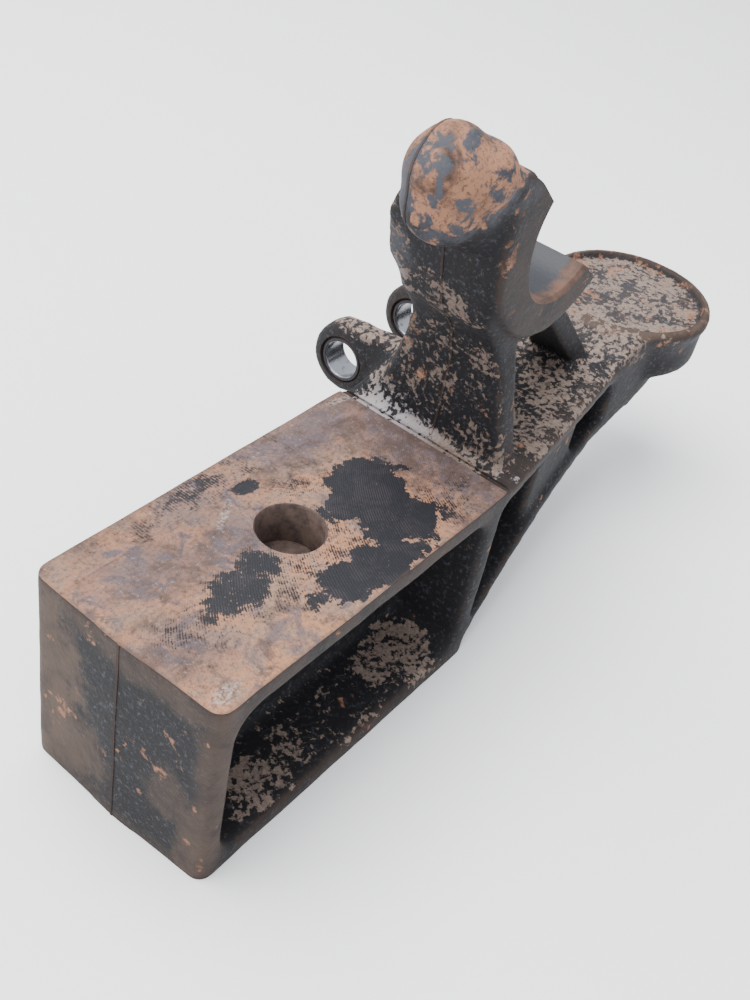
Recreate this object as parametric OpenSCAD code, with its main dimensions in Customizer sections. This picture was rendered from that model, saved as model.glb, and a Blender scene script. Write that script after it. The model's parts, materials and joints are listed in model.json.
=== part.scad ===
// Cast axle-seat bracket: a pocketed seat block, a tapering I-beam arm with a
// round rimmed pad at its end, an open tube saddle on a post, and two ears
// that take a cross pin.
//
// +X runs from the block to the round pad, +Y is the side of the ears, +Z is up.
// The origin is the mouth of the centre hole, in the machined seat face.

/* [Seat block] */
// Length of the block along the arm
seat_len = 187; // [150:1:230]
// Width of the block
seat_w = 100; // [84:1:124]
// Height of the block, seat face to base
seat_h = 105; // [84:1:130]
// Thickness of the top plate with the machined seat
seat_t = 12; // [8:0.5:15]
// Thickness of the base plate
base_t = 8; // [6:0.5:12]
// Thickness of the front and rear walls
wall_t = 11; // [8:0.5:14]
// Thickness of the web down the middle of the block
block_web_t = 24; // [14:1:40]
// Radius of the block's upright corners
corner_r = 9; // [3:0.5:10]

/* [Centre hole] */
// Diameter of the blind locating hole
hole_d = 30; // [16:0.5:40]
// Depth of the blind locating hole
hole_depth = 22; // [12:1:30]
// Metal around and under the hole
hole_wall = 10; // [6:0.5:14]

/* [Arm] */
// Length of the arm from the block to its neck
arm_len = 135; // [112:1:165]
// Width of the arm at the neck
neck_w = 65; // [54:1:78]
// Depth of the arm where it leaves the block
root_h = 95; // [78:1:100]
// Depth of the arm at the neck
neck_h = 47; // [38:1:56]
// Thickness of the arm's top and bottom flanges
flange_t = 10; // [7:0.5:12]
// Thickness of the arm's web
arm_web_t = 22; // [14:1:32]
// Height of the machined seat above the rough arm
seat_step = 1; // [0.5:0.5:3]
// Length of the solid rib between the two side pockets
rib_len = 52; // [30:1:60]
// How far the rib stands back from the flange edges
rib_setback = 4; // [2:0.5:10]

/* [Round pad] */
// Diameter over the pad's rim
pad_d = 97; // [80:1:116]
// Width of the raised rim
rim_w = 5.5; // [4:0.5:9]
// Depth of the pad's floor below its rim
pad_recess = 3; // [1:0.5:3.5]
// Height of the rim above the seat face
pad_rise = 8; // [5:0.5:14]
// Height of the rim's lip, top to underside
lip_h = 7; // [5:0.5:10]
// How far the lip overhangs the skirt
lip_over = 2; // [1:0.5:4]
// Depth of the skirt below the seat face
skirt_depth = 22; // [16:1:30]
// Thickness of the pad's floor and skirt around the hollow underneath
pad_wall = 9; // [7:0.5:12]
// Distance from the arm's neck to the pad's centre
neck_to_pad = 65; // [60:1:80]

/* [Saddle] */
// Diameter of the tube that the saddle holds
tube_d = 68; // [56:1:80]
// Wall of the saddle around the tube
saddle_wall = 18.5; // [14:0.5:22]
// Width of the saddle along the tube
saddle_w = 58; // [48:1:70]
// Height of the tube's centre above the seat face
tube_z = 113; // [95:1:135]
// Distance from the block's rear to the tube's centre
tube_back = 35.5; // [30:0.5:42]
// Elevation that the saddle's mouth faces
mouth_angle = 48; // [40:1:55]
// How far the split faces stand below the tube's centre
split_drop = 5; // [2:0.5:8]

/* [Post and strut] */
// Distance from the block's rear to the post's front face
post_gap = 8; // [4:0.5:12]
// Thickness of the post along the arm
post_t = 15; // [10:0.5:18]
// Width of the post at its foot
post_foot_w = 76; // [64:1:84]
// Width of the post's head under the saddle
post_head_w = 48; // [40:1:56]
// Width of the strut that props the saddle from behind
strut_w = 28; // [18:1:40]
// Thickness of the strut
strut_t = 12; // [8:0.5:16]

/* [Boss] */
// Diameter of the thumb-shaped boss on the saddle's back
boss_d = 36; // [32:1:44]
// How far the boss's nose stands out of the saddle's back
boss_reach = 35; // [28:1:42]
// How far the boss stands off centre, away from the ears
boss_side = 7; // [0:0.5:8]
// Height of the boss's nose above the tube's centre
boss_up = 35; // [30:1:44]

/* [Ears] */
// Diameter of the pin bore through the ear bushes
pin_d = 19; // [12:0.5:20]
// Wall of each pressed-in bush
bush_wall = 2.5; // [1.5:0.5:4]
// Metal of the ear around its bush
ear_wall = 7; // [5:0.5:10]
// Thickness of each ear
ear_t = 13; // [9:0.5:16]
// Clear gap between the two ears
ear_gap = 46; // [37:1:50]
// Distance from the block's side to the pin's centre
ear_out = 18; // [16:0.5:26]
// Depth of the pin's centre below the seat face
ear_drop = 2; // [0:0.5:8]
// Height of the ear's shoulder above the rough arm
ear_shoulder = 23; // [16:1:28]

/* [Hidden] */
$fn = 96;

// Block: distances from the hole's centre
x_rear = seat_len / 2;
x_front = -x_rear;
z_base = -seat_h;
boss_r = hole_d / 2 + hole_wall;

// Arm
arm_top = -seat_step;
x_neck = x_rear + arm_len;
arm_steps = 18;
arm_curve = 2;
rib_share = 0.56;
rib_mid = x_rear + arm_len * rib_share;

// Pad
x_pad = x_neck + neck_to_pad;
pad_r = pad_d / 2;
skirt_r = pad_r - lip_over;
pad_floor = pad_rise - pad_recess;
z_skirt = -skirt_depth;
ramp_len = 16;
ramp_drop = 0.5;
neck_flare = 4;
wedge_sag = 3;

// Saddle
x_tube = x_rear + tube_back;
tube_r = tube_d / 2;
saddle_r = tube_r + saddle_wall;
back_lead = 6;
x_back = x_tube - saddle_r - back_lead;
nape_drop = 21;
throat_drop = 37;
z_nape = tube_z - nape_drop;
z_throat = tube_z - throat_drop;
x_throat = x_tube - sqrt(saddle_r * saddle_r - throat_drop * throat_drop);
crown_rise = 4;
z_crown = tube_z + tube_r + crown_rise;
crown_cut = 12;

// Post and strut
x_post = x_rear + post_gap;
x_post_back = x_post + post_t;
z_waist = 42;
z_bust = 62;
foot_rise = 56;
strut_angle = 44;
x_strut_foot = x_neck;

// Ears
bush_r = pin_d / 2 + bush_wall;
hub_r = bush_r + ear_wall;
y_pin = seat_w / 2 + ear_out;
z_pin = -ear_drop;
x_ear_1 = x_post_back;
x_ear_2 = x_ear_1 + ear_t + ear_gap;
ear_root = 30;
ear_slope = 32;
z_ear_low = z_pin - 2 * hub_r;

iron = [0.24, 0.19, 0.18];
rust = [0.45, 0.31, 0.24];
steel = [0.70, 0.71, 0.73];

// Share of the arm's length at x, from 0 at the block to 1 at the neck
function along(x) = min(max((x - x_rear) / arm_len, 0), 1);

// Half of the arm's width at x
function half_w(x) = seat_w / 2 + (neck_w - seat_w) / 2 * along(x);

// Height of the arm's underside at x
function under(x) = -neck_h - (root_h - neck_h) * pow(1 - along(x), arm_curve);

// The stations along the arm
function stations() = [for (i = [0:arm_steps]) x_rear + arm_len * i / arm_steps];

// A list in the opposite order
function backwards(list) = [for (i = [len(list) - 1:-1:0]) list[i]];

// Draws an X-Z outline as a slab of width w, centred on y
module side_slab(w, y = 0) {
    translate([0, y + w / 2, 0]) rotate([90, 0, 0]) linear_extrude(w) children();
}

// Draws a Y-Z outline as a plate from x to x + t
module cross_plate(x, t) {
    translate([x, 0, 0]) rotate([90, 0, 90]) linear_extrude(t) children();
}

// The block's outline from above, round at its front corners
module block_outline() {
    translate([x_front + corner_r, -seat_w / 2]) square([seat_len - corner_r, seat_w]);
    translate([x_front, -seat_w / 2 + corner_r]) square([corner_r, seat_w - 2 * corner_r]);
    for (side = [-1, 1])
        translate([x_front + corner_r, side * (seat_w / 2 - corner_r)]) circle(corner_r);
}

// The arm's outline from above
module arm_outline() {
    polygon([[x_rear, -seat_w / 2], [x_neck, -neck_w / 2], [x_neck, neck_w / 2], [x_rear, seat_w / 2]]);
}

// The strip between the underside raised by low and the underside raised by high
module under_strip(low, high) {
    xs = stations();
    polygon(concat([for (x = xs) [x, under(x) + low]],
                   backwards([for (x = xs) [x, min(under(x) + high, arm_top - flange_t)]])));
}

// The side of the arm between its two flanges
module arm_side() {
    xs = stations();
    polygon(concat([for (x = xs) [x, under(x) + flange_t]],
                   [[x_neck, arm_top - flange_t], [x_rear, arm_top - flange_t]]));
}

module seat_plate() {
    color(rust) difference() {
        union() {
            translate([0, 0, -seat_t]) linear_extrude(seat_t) block_outline();
            translate([0, 0, -hole_depth - hole_wall]) cylinder(r = boss_r, h = hole_depth);
        }
        translate([0, 0, -hole_depth]) cylinder(d = hole_d, h = hole_depth + 1);
    }
}

module block_web() {
    color(iron) difference() {
        translate([x_front + wall_t, -block_web_t / 2, z_base + base_t])
            cube([seat_len - 2 * wall_t, block_web_t, seat_h - seat_t - base_t]);
        translate([0, 0, -hole_depth - hole_wall]) cylinder(r = boss_r, h = hole_depth);
    }
}

module front_wall() {
    color(rust) translate([0, 0, z_base + base_t])
        linear_extrude(seat_h - seat_t - base_t) intersection() {
            block_outline();
            translate([x_front, -seat_w / 2]) square([wall_t, seat_w]);
        }
}

module rear_wall() {
    color(iron) translate([x_rear - wall_t, -seat_w / 2, z_base + base_t])
        cube([wall_t, seat_w, seat_h - seat_t - base_t]);
}

module base_plate() {
    color(iron) translate([0, 0, z_base]) linear_extrude(base_t) block_outline();
}

module arm_top_flange() {
    color(iron) translate([0, 0, arm_top - flange_t]) linear_extrude(flange_t) arm_outline();
}

module arm_web() {
    color(iron) side_slab(arm_web_t) arm_side();
}

module arm_bottom_flange() {
    color(iron) intersection() {
        side_slab(seat_w) under_strip(0, flange_t);
        translate([0, 0, z_base]) linear_extrude(seat_h) arm_outline();
    }
}

// A rib between the flanges from x to x + length, on the side given as -1 or 1
module arm_rib(x, length, side, setback) {
    inner = arm_web_t / 2;
    color(iron) intersection() {
        side_slab(seat_w) arm_side();
        translate([0, 0, z_base]) linear_extrude(seat_h)
            polygon([[x, side * inner], [x + length, side * inner],
                     [x + length, side * (half_w(x + length) - setback)],
                     [x, side * (half_w(x) - setback)]]);
    }
}

module arm_rib_right() {
    arm_rib(rib_mid - rib_len / 2, rib_len, -1, rib_setback);
}

module arm_rib_left() {
    arm_rib(x_ear_2 - (rib_len - ear_t) / 2, rib_len, 1, 0);
}

module ear_rib() {
    arm_rib(x_ear_1, ear_t, 1, 0);
}

// The neck's side outline, with the ramp up to the pad
module neck_side() {
    polygon([[x_neck, -neck_h], [(x_neck + x_pad) / 2, (z_skirt - neck_h) / 2 - wedge_sag], [x_pad, z_skirt],
             [x_pad, pad_rise - ramp_drop], [x_neck + ramp_len, pad_rise - ramp_drop], [x_neck, arm_top]]);
}

module arm_neck() {
    color(iron) difference() {
        intersection() {
            side_slab(pad_d) neck_side();
            translate([0, 0, z_base]) linear_extrude(2 * seat_h)
                polygon([[x_neck, -neck_w / 2], [x_pad, -neck_w / 2 - neck_flare],
                         [x_pad, neck_w / 2 + neck_flare], [x_neck, neck_w / 2]]);
        }
        translate([x_pad, 0, z_skirt]) cylinder(r = skirt_r, h = skirt_depth + pad_rise);
        translate([x_pad, 0, pad_rise - lip_h]) cylinder(r = pad_r, h = lip_h);
        translate([x_pad, 0, z_base]) cylinder(r = skirt_r - pad_wall, h = seat_h);
    }
}

module round_pad() {
    color(rust) translate([x_pad, 0, 0]) difference() {
        union() {
            translate([0, 0, z_skirt]) cylinder(r = skirt_r, h = skirt_depth + pad_rise - lip_h);
            translate([0, 0, pad_rise - lip_h]) cylinder(r = pad_r, h = lip_h);
        }
        translate([0, 0, pad_floor]) cylinder(r = pad_r - rim_w, h = pad_recess + 1);
        translate([0, 0, z_skirt - 1]) cylinder(r = skirt_r - pad_wall, h = 1 + skirt_depth + pad_floor - pad_wall);
    }
}

// The saddle's outline from the side, before the tube and the mouth are cut
module saddle_outline() {
    translate([x_tube, tube_z]) circle(saddle_r);
    polygon([[x_back, z_crown], [x_back, tube_z + crown_rise], [x_back + back_lead, z_nape],
             [x_throat, z_throat], [x_tube, tube_z], [x_tube, z_crown]]);
}

// Everything on the mouth's side of the split face, w wide
module beyond_split(w) {
    side_slab(w) translate([x_tube, tube_z]) rotate(mouth_angle - 90)
        translate([-3 * saddle_r, -split_drop]) square(6 * saddle_r);
}

module tube_saddle() {
    half = saddle_w / 2;
    color(iron) difference() {
        intersection() {
            side_slab(saddle_w) saddle_outline();
            cross_plate(x_back, x_tube + saddle_r - x_back)
                polygon([[-half, 0], [half, 0], [half, tube_z], [half - crown_cut, z_crown], [-half, z_crown]]);
        }
        translate([x_tube, saddle_w, tube_z]) rotate([90, 0, 0]) cylinder(r = tube_r, h = 2 * saddle_w);
        beyond_split(seat_w);
    }
}

// The post's outline from the side: a plain plate with a head leaning forward
module post_side() {
    polygon([[x_post, arm_top], [x_post_back, arm_top], [x_post_back, z_throat], [x_tube, tube_z],
             [x_back + back_lead, z_nape], [x_back + 2 * back_lead, z_throat],
             [x_post - back_lead, z_bust], [x_post, z_waist]]);
}

module saddle_post() {
    color(iron) difference() {
        intersection() {
            side_slab(post_foot_w) post_side();
            cross_plate(x_back, x_tube - x_back)
                polygon([[-post_foot_w / 2, arm_top], [post_foot_w / 2, arm_top],
                         [post_head_w / 2, foot_rise], [post_head_w / 2, tube_z],
                         [-post_head_w / 2, tube_z], [-post_head_w / 2, foot_rise]]);
        }
        side_slab(seat_w) saddle_outline();
    }
}

module saddle_boss() {
    color(rust) difference() {
        translate([x_back - boss_reach + boss_d / 2, -boss_side, tube_z + boss_up])
            rotate([0, 180 - mouth_angle, 0]) rotate_extrude() {
                intersection() {
                    circle(d = boss_d);
                    translate([0, -boss_d]) square(boss_d);
                }
                square([boss_d / 2, boss_d]);
            }
        side_slab(seat_w) saddle_outline();
    }
}

module saddle_strut() {
    run = tube_z / tan(strut_angle);
    color(iron) difference() {
        side_slab(strut_w) polygon([[x_strut_foot, arm_top], [x_strut_foot - strut_t / sin(strut_angle), arm_top],
                                    [x_strut_foot - strut_t / sin(strut_angle) - run, arm_top + tube_z],
                                    [x_strut_foot - run, arm_top + tube_z]]);
        side_slab(seat_w) saddle_outline();
        translate([x_post - seat_len, -seat_w / 2, arm_top]) cube([seat_len + post_t, seat_w, 2 * tube_z]);
    }
}

// One ear, starting at x: it stands on the arm and hangs beside it
module ear(x) {
    color(iron) difference() {
        union() {
            translate([x, y_pin, z_pin]) rotate([0, 90, 0]) cylinder(r = hub_r, h = ear_t);
            cross_plate(x, ear_t)
                polygon([[ear_root, arm_top + ear_shoulder], [y_pin, z_pin + hub_r], [y_pin, z_pin],
                         [y_pin - hub_r * sin(ear_slope), z_pin - hub_r * cos(ear_slope)],
                         [ear_root, z_ear_low], [ear_root, arm_top]]);
        }
        translate([x - 1, y_pin, z_pin]) rotate([0, 90, 0]) cylinder(r = bush_r, h = ear_t + 2);
        translate([0, 0, z_base]) linear_extrude(seat_h + arm_top) arm_outline();
    }
}

module ear_bush(x) {
    color(steel) translate([x, y_pin, z_pin]) rotate([0, 90, 0]) difference() {
        cylinder(r = bush_r, h = ear_t);
        translate([0, 0, -1]) cylinder(d = pin_d, h = ear_t + 2);
    }
}

module front_ear() {
    ear(x_ear_1);
}

module rear_ear() {
    ear(x_ear_2);
}

module front_ear_bush() {
    ear_bush(x_ear_1);
}

module rear_ear_bush() {
    ear_bush(x_ear_2);
}

seat_plate();
block_web();
front_wall();
rear_wall();
base_plate();
arm_top_flange();
arm_web();
arm_bottom_flange();
arm_rib_right();
arm_rib_left();
ear_rib();
arm_neck();
round_pad();
saddle_post();
tube_saddle();
saddle_boss();
saddle_strut();
front_ear();
rear_ear();
front_ear_bush();
rear_ear_bush();
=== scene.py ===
"""Looks of a cast axle-seat bracket: one rough iron casting and two pressed-in pin bushes."""

import json
import logging
import math
from dataclasses import dataclass, field
from enum import Enum
from typing import Callable, Iterable, Optional, Union

import bmesh
import bpy
import numpy as np
from mathutils import Matrix, Vector


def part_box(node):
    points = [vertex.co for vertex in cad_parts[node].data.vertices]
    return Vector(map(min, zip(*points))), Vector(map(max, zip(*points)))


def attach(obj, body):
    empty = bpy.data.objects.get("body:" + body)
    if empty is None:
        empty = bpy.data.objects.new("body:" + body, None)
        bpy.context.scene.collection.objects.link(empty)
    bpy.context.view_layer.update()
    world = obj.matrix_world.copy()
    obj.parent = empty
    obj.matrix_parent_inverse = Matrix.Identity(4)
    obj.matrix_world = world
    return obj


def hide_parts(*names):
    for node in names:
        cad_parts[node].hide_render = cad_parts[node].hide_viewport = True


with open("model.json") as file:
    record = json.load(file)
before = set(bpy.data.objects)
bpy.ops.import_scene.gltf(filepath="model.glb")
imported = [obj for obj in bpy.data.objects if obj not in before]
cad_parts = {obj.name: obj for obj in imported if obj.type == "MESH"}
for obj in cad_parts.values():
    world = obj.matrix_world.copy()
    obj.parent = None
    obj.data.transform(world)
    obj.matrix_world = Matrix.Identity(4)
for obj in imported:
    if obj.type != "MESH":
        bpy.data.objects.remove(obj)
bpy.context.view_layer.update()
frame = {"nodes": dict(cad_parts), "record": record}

LOG = logging.getLogger("bracket")
MM = 0.001
BODY = "root"
WEAR = "wear"
# The share of each finish's colour that is kept, because the studio's light is strong
LIT = 0.6
# How far a seat zone reaches up and down
DEEP = 99.0

Point = tuple[float, float, float]
Socket = bpy.types.NodeSocket
Feed = Union[Socket, float, Point, tuple[float, float, float, float]]


def metres(point: Iterable[float]) -> Vector:
    """A point or a size in millimetres, as a vector in metres."""
    return Vector(tuple(point)) * MM


def box_mm(*nodes: str) -> tuple[Vector, Vector]:
    """The box round some CAD nodes.

    Args:
        nodes: the nodes' names.

    Returns:
        The lowest and the highest corner, in millimetres.
    """
    corners = [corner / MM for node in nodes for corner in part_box(node)]
    low = Vector(min(c[i] for c in corners) for i in range(3))
    high = Vector(max(c[i] for c in corners) for i in range(3))
    return low, high


class Axis(Enum):
    """The direction that a turned shape is built along."""

    X = (0.0, math.pi / 2, 0.0)
    Y = (-math.pi / 2, 0.0, 0.0)
    Z = (0.0, 0.0, 0.0)

    @property
    def along(self) -> Vector:
        """The axis as a unit vector."""
        return Vector((self is Axis.X, self is Axis.Y, self is Axis.Z))


class Cut(Enum):
    """How one solid is joined to or taken from another."""

    ADD = "UNION"
    REMOVE = "DIFFERENCE"


class Bench:
    """The modelling steps that every sub-assembly uses. Sizes are in millimetres."""

    @staticmethod
    def pick(piece: bpy.types.Object) -> None:
        """Leaves only one object selected, and makes it active."""
        bpy.ops.object.select_all(action="DESELECT")
        piece.select_set(True)
        bpy.context.view_layer.objects.active = piece

    @staticmethod
    def settle(piece: bpy.types.Object) -> None:
        """Moves an object's place, turn and scale into its mesh."""
        Bench.pick(piece)
        bpy.ops.object.transform_apply(location=True, rotation=True, scale=True)

    @staticmethod
    def select(piece: bpy.types.Object, kind: str, test: Callable[[Vector, Vector], bool]) -> None:
        """Enters edit mode and selects what a test accepts.

        Args:
            piece: the object to edit.
            kind: VERT, EDGE or FACE.
            test: takes a middle point in millimetres and a direction, which is the normal of a
                vertex or face and the run of an edge, and returns True to select it.
        """
        Bench.pick(piece)
        bpy.ops.object.mode_set(mode="EDIT")
        bpy.ops.mesh.select_mode(type=kind)
        bpy.ops.mesh.select_all(action="DESELECT")
        shape = bmesh.from_edit_mesh(piece.data)
        if kind == "VERT":
            for vertex in shape.verts:
                vertex.select_set(test(vertex.co / MM, vertex.normal))
        elif kind == "EDGE":
            for edge in shape.edges:
                first, second = (v.co for v in edge.verts)
                edge.select_set(test((first + second) / 2 / MM, (second - first).normalized()))
        else:
            for face in shape.faces:
                face.select_set(test(face.calc_center_median() / MM, face.normal))
        shape.select_flush_mode()
        bmesh.update_edit_mesh(piece.data)

    @staticmethod
    def leave() -> None:
        """Goes back to object mode."""
        bpy.ops.object.mode_set(mode="OBJECT")

    @staticmethod
    def box(name: str, low: Iterable[float], high: Iterable[float]) -> bpy.types.Object:
        """A plain block between two corners, to be shaped further.

        Args:
            name: the new object's name.
            low: the lowest corner.
            high: the highest corner.

        Returns:
            The block.
        """
        start, end = metres(low), metres(high)
        bpy.ops.object.select_all(action="DESELECT")
        bpy.ops.mesh.primitive_cube_add(size=1, location=(start + end) / 2, scale=end - start)
        piece = bpy.context.active_object
        piece.name = name
        Bench.settle(piece)
        return piece

    @staticmethod
    def turned(name: str, centre: Iterable[float], axis: Axis, rings: Iterable[tuple[float, float]],
               sides: int = 96) -> bpy.types.Object:
        """A turned solid: a disc, extruded and resized from ring to ring.

        Args:
            name: the new object's name.
            centre: the point that the rings' places are counted from.
            axis: the axis of the shape.
            rings: each ring's radius and its place along the axis.
            sides: how many points a ring has.

        Returns:
            The closed solid.
        """
        origin, steps = metres(centre), list(rings)
        radius, place = steps[0]
        bpy.ops.object.select_all(action="DESELECT")
        bpy.ops.mesh.primitive_circle_add(
            vertices=sides, radius=radius * MM, fill_type="NGON",
            location=origin + axis.along * place * MM, rotation=axis.value)
        piece = bpy.context.active_object
        piece.name = name
        Bench.settle(piece)
        bpy.ops.object.mode_set(mode="EDIT")
        bpy.ops.mesh.select_all(action="SELECT")
        for next_radius, next_place in steps[1:]:
            move = axis.along * (next_place - place) * MM
            bpy.ops.mesh.extrude_region_move(TRANSFORM_OT_translate={"value": move})
            share = next_radius / radius
            bpy.ops.transform.resize(value=(share, share, share),
                                     center_override=origin + axis.along * next_place * MM)
            radius, place = next_radius, next_place
        bpy.ops.mesh.select_all(action="SELECT")
        bpy.ops.mesh.remove_doubles(threshold=0.001 * MM)
        bpy.ops.mesh.normals_make_consistent(inside=False)
        Bench.leave()
        return piece

    @staticmethod
    def cad_copy(node: str) -> bpy.types.Object:
        """A merged copy of a CAD node's mesh, for modelling on."""
        source = frame["nodes"][node]
        piece = bpy.data.objects.new(f"{node}_blank", source.data.copy())
        bpy.context.scene.collection.objects.link(piece)
        piece.data.materials.clear()
        Bench.pick(piece)
        bpy.ops.object.mode_set(mode="EDIT")
        bpy.ops.mesh.select_all(action="SELECT")
        bpy.ops.mesh.remove_doubles(threshold=0.01 * MM)
        Bench.leave()
        return piece

    @staticmethod
    def slide(piece: bpy.types.Object, test: Callable[[Vector, Vector], bool], move: Point) -> None:
        """Moves the vertices that a test accepts."""
        Bench.select(piece, "VERT", test)
        bpy.ops.transform.translate(value=metres(move))
        Bench.leave()

    @staticmethod
    def round_edges(piece: bpy.types.Object, test: Callable[[Vector, Vector], bool], radius: float,
                    steps: int = 6) -> None:
        """Rounds the edges that a test accepts."""
        Bench.select(piece, "EDGE", test)
        bpy.ops.mesh.bevel(offset=radius * MM, segments=steps, affect="EDGES")
        Bench.leave()

    @staticmethod
    def combine(piece: bpy.types.Object, other: bpy.types.Object, cut: Cut) -> None:
        """Adds a second solid to the first or takes it away, and deletes the second."""
        Bench.pick(piece)
        step = piece.modifiers.new("combine", "BOOLEAN")
        step.operation, step.object, step.solver = cut.value, other, "EXACT"
        bpy.ops.object.modifier_apply(modifier=step.name)
        bpy.data.objects.remove(other)

    @staticmethod
    def join(name: str, pieces: list[bpy.types.Object]) -> bpy.types.Object:
        """Puts several meshes into one object."""
        Bench.pick(pieces[0])
        for piece in pieces[1:]:
            piece.select_set(True)
        bpy.ops.object.join()
        pieces[0].name = name
        return pieces[0]

    @staticmethod
    def fuse(piece: bpy.types.Object, grid: float) -> None:
        """Melts a mesh of crossing solids into one skin of even quads."""
        Bench.pick(piece)
        step = piece.modifiers.new("fuse", "REMESH")
        step.mode, step.voxel_size, step.adaptivity = "VOXEL", grid * MM, 0
        bpy.ops.object.modifier_apply(modifier=step.name)

    @staticmethod
    def smooth(piece: bpy.types.Object, passes: int) -> None:
        """Evens out a skin."""
        Bench.pick(piece)
        step = piece.modifiers.new("smooth", "SMOOTH")
        step.iterations, step.factor = passes, 0.5
        bpy.ops.object.modifier_apply(modifier=step.name)

    @staticmethod
    def swell(piece: bpy.types.Object, amount: float, texture: Optional[bpy.types.Texture] = None) -> None:
        """Moves a skin outwards, evenly or by a texture's tone."""
        Bench.pick(piece)
        step = piece.modifiers.new("swell", "DISPLACE")
        step.strength, step.mid_level = amount * MM, 0.5 if texture else 0.0
        if texture:
            step.texture, step.texture_coords = texture, "GLOBAL"
        bpy.ops.object.modifier_apply(modifier=step.name)

    @staticmethod
    def keep_slab(piece: bpy.types.Object, point: Point, normal: Point) -> None:
        """Cuts off what lies beyond a plane, on the side of its normal, and closes the cut."""
        Bench.pick(piece)
        bpy.ops.object.mode_set(mode="EDIT")
        bpy.ops.mesh.select_all(action="SELECT")
        bpy.ops.mesh.bisect(plane_co=metres(point), plane_no=normal, use_fill=True, clear_outer=True,
                            threshold=1e-7)
        Bench.leave()


@dataclass
class Skin:
    """The net of points and edges of a fused skin, for flowing metal into its corners."""

    piece: bpy.types.Object
    grid: float

    def __post_init__(self) -> None:
        """Reads the net once."""
        mesh = self.piece.data
        self.count = len(mesh.vertices)
        ends = np.empty(len(mesh.edges) * 2, np.int64)
        mesh.edges.foreach_get("vertices", ends)
        self.first, self.second = ends[0::2], ends[1::2]
        self.links = np.maximum(np.bincount(ends, minlength=self.count), 1)

    def places(self) -> np.ndarray:
        """Every point, in metres."""
        flat = np.empty(self.count * 3)
        self.piece.data.vertices.foreach_get("co", flat)
        return flat.reshape(-1, 3)

    def normals(self) -> np.ndarray:
        """Every point's outward direction."""
        flat = np.empty(self.count * 3, np.float32)
        self.piece.data.vertex_normals.foreach_get("vector", flat)
        return flat.reshape(-1, 3)

    def mean_of_neighbours(self, values: np.ndarray) -> np.ndarray:
        """The mean over each point's neighbours.

        Args:
            values: one row per point.

        Returns:
            The means, in the same shape.
        """
        rows = values.reshape(self.count, -1)
        total = np.empty_like(rows)
        for column in range(rows.shape[1]):
            data = rows[:, column]
            total[:, column] = (np.bincount(self.first, data[self.second], self.count)
                                + np.bincount(self.second, data[self.first], self.count))
        return (total / self.links[:, None]).reshape(values.shape)

    def bend(self, radius: float) -> np.ndarray:
        """How sharply the surface bends outwards at each point.

        Args:
            radius: the edge radius that counts as 1, in millimetres.

        Returns:
            About 0 on a flat, up to 1.5 on a sharp edge.
        """
        points, normals = self.places(), self.normals()
        run = points[self.second] - points[self.first]
        square = np.maximum((run ** 2).sum(1), (0.3 * MM) ** 2)
        total = (np.bincount(self.first, -(run * normals[self.first]).sum(1) / square, self.count)
                 + np.bincount(self.second, (run * normals[self.second]).sum(1) / square, self.count))
        sharp = np.clip(total / self.links * 4 * radius * MM, 0, 1.5)
        for _ in range(2):
            sharp = 0.5 * sharp + 0.5 * self.mean_of_neighbours(sharp)
        return sharp

    def flow(self, passes: int, fillet: Callable[[np.ndarray], np.ndarray], edge: float) -> None:
        """Fills inner corners and rounds outer ones, up to a radius for each.

        Args:
            passes: how many small steps to take.
            fillet: gives the inner radius at each point, in millimetres.
            edge: the outer radius, in millimetres.
        """
        mesh = self.piece.data
        points = self.places()
        bend = (self.grid * MM) ** 2 / 4
        inner = bend / (fillet(points / MM) * MM)
        outer = bend / (edge * MM)
        for _ in range(passes):
            normals = self.normals()
            pull = ((self.mean_of_neighbours(points) - points) * normals).sum(1)
            step = np.where(pull > 0, np.maximum(pull - inner, 0), np.minimum(pull + outer, 0))
            points = points + normals * (0.6 * step)[:, None]
            mesh.vertices.foreach_set("co", points.ravel())
            mesh.update()


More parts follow.
